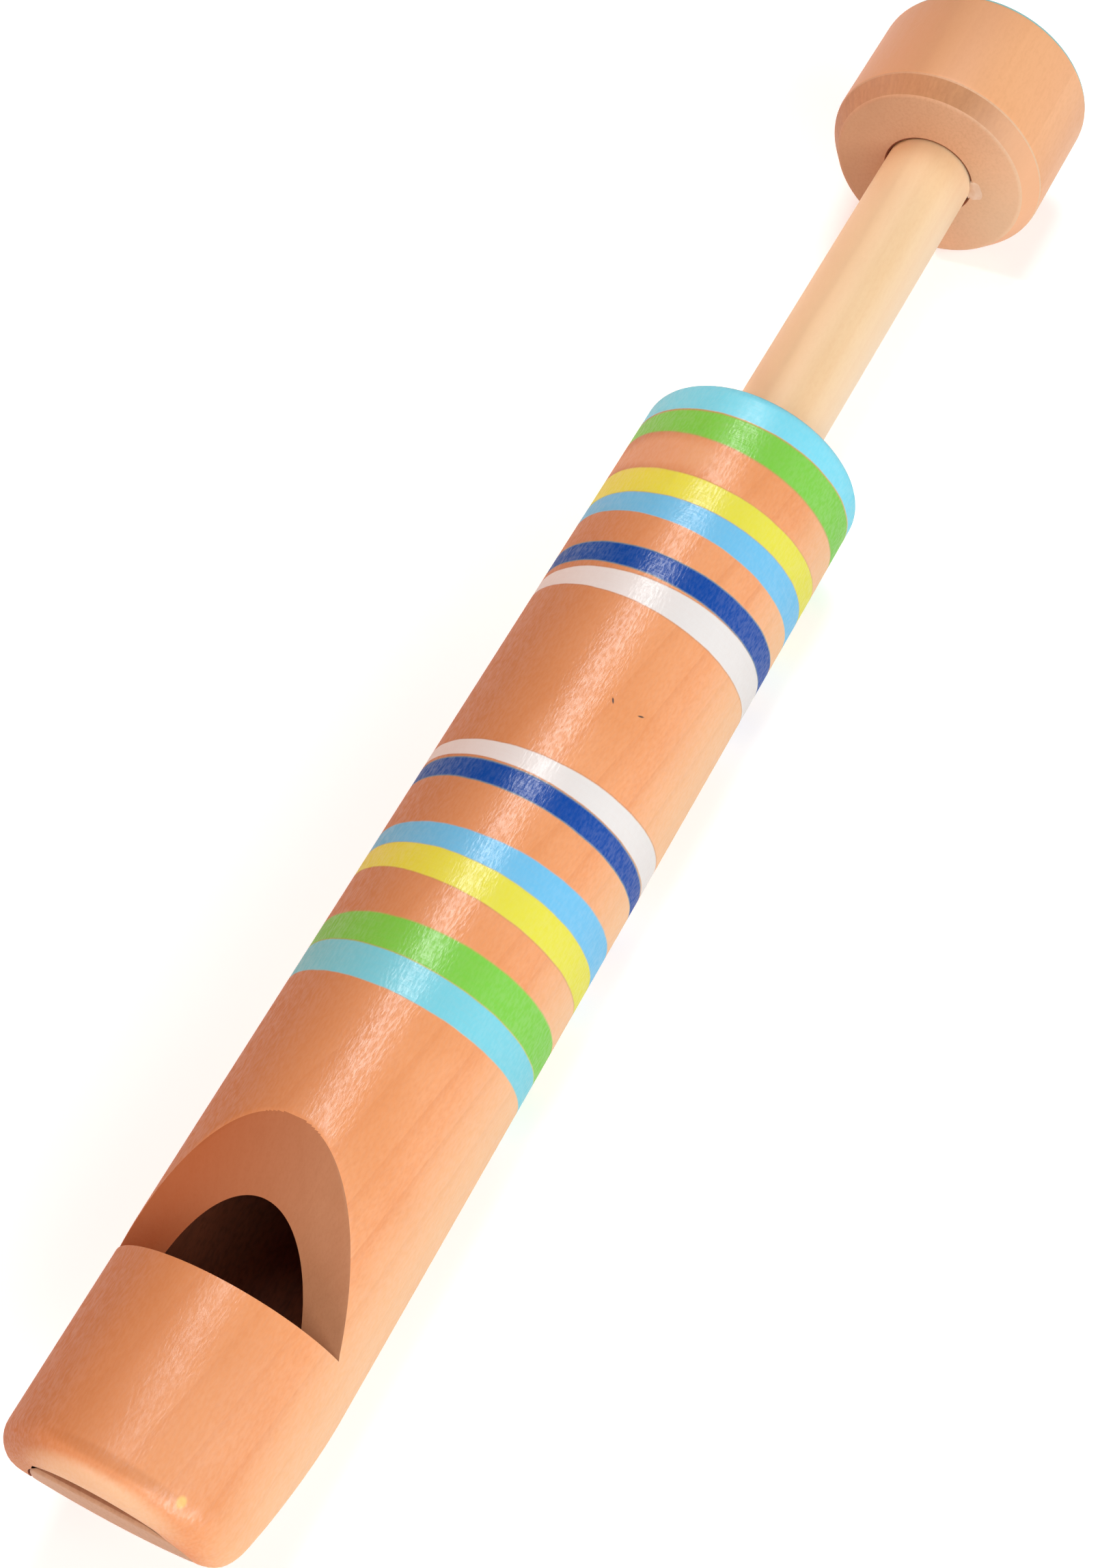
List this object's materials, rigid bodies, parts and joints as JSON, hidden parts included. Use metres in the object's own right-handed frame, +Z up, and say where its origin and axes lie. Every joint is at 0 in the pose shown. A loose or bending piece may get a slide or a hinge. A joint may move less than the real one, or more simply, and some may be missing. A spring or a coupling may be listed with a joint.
{
  "type": "wooden slide whistle",
  "caption": "Turned wooden slide whistle: a bored barrel with a beak mouthpiece and a sounding window, and a knobbed plunger rod that slides in the bore to change the note.",
  "frame": {"origin": "on the surface that the whistle lies on, below the middle of its length with the plunger drawn as in the picture", "axes": "+X along the bore from the mouth to the pull knob, +Z up through the sounding window"},
  "size_m": [0.1908, 0.026, 0.0259],
  "materials": {
    "barrel_wood": "satin clear lacquer over reddish hardwood, with painted rings",
    "block_wood": "sanded bare hardwood",
    "bush_wood": "turned bare hardwood",
    "rod_wood": "smooth pale dowel",
    "head_wood": "turned pale wood",
    "seal_rubber": "matt black rubber",
    "knob_wood": "sanded hardwood with a painted end"
  },
  "bodies": {
    "whistle_body": {"barrel": "barrel_wood", "fipple_block": "block_wood", "guide_bush": "bush_wood"},
    "seal_ring": {"piston_seal": "seal_rubber"},
    "plunger": {"piston_rod": "rod_wood", "piston_head": "head_wood", "pull_knob": "knob_wood"}
  },
  "joints": [
    {"name": "plunger_slide", "type": "slide", "parent": "whistle_body", "child": "seal_ring", "axis": [1, 0, 0], "range_m": [-0.0467, 0.0017]},
    {"name": "plunger_spin", "type": "hinge", "parent": "seal_ring", "child": "plunger", "pos_m": [0.01845, 0, 0.01297], "axis": [1, 0, 0], "continuous": true}
  ]
}
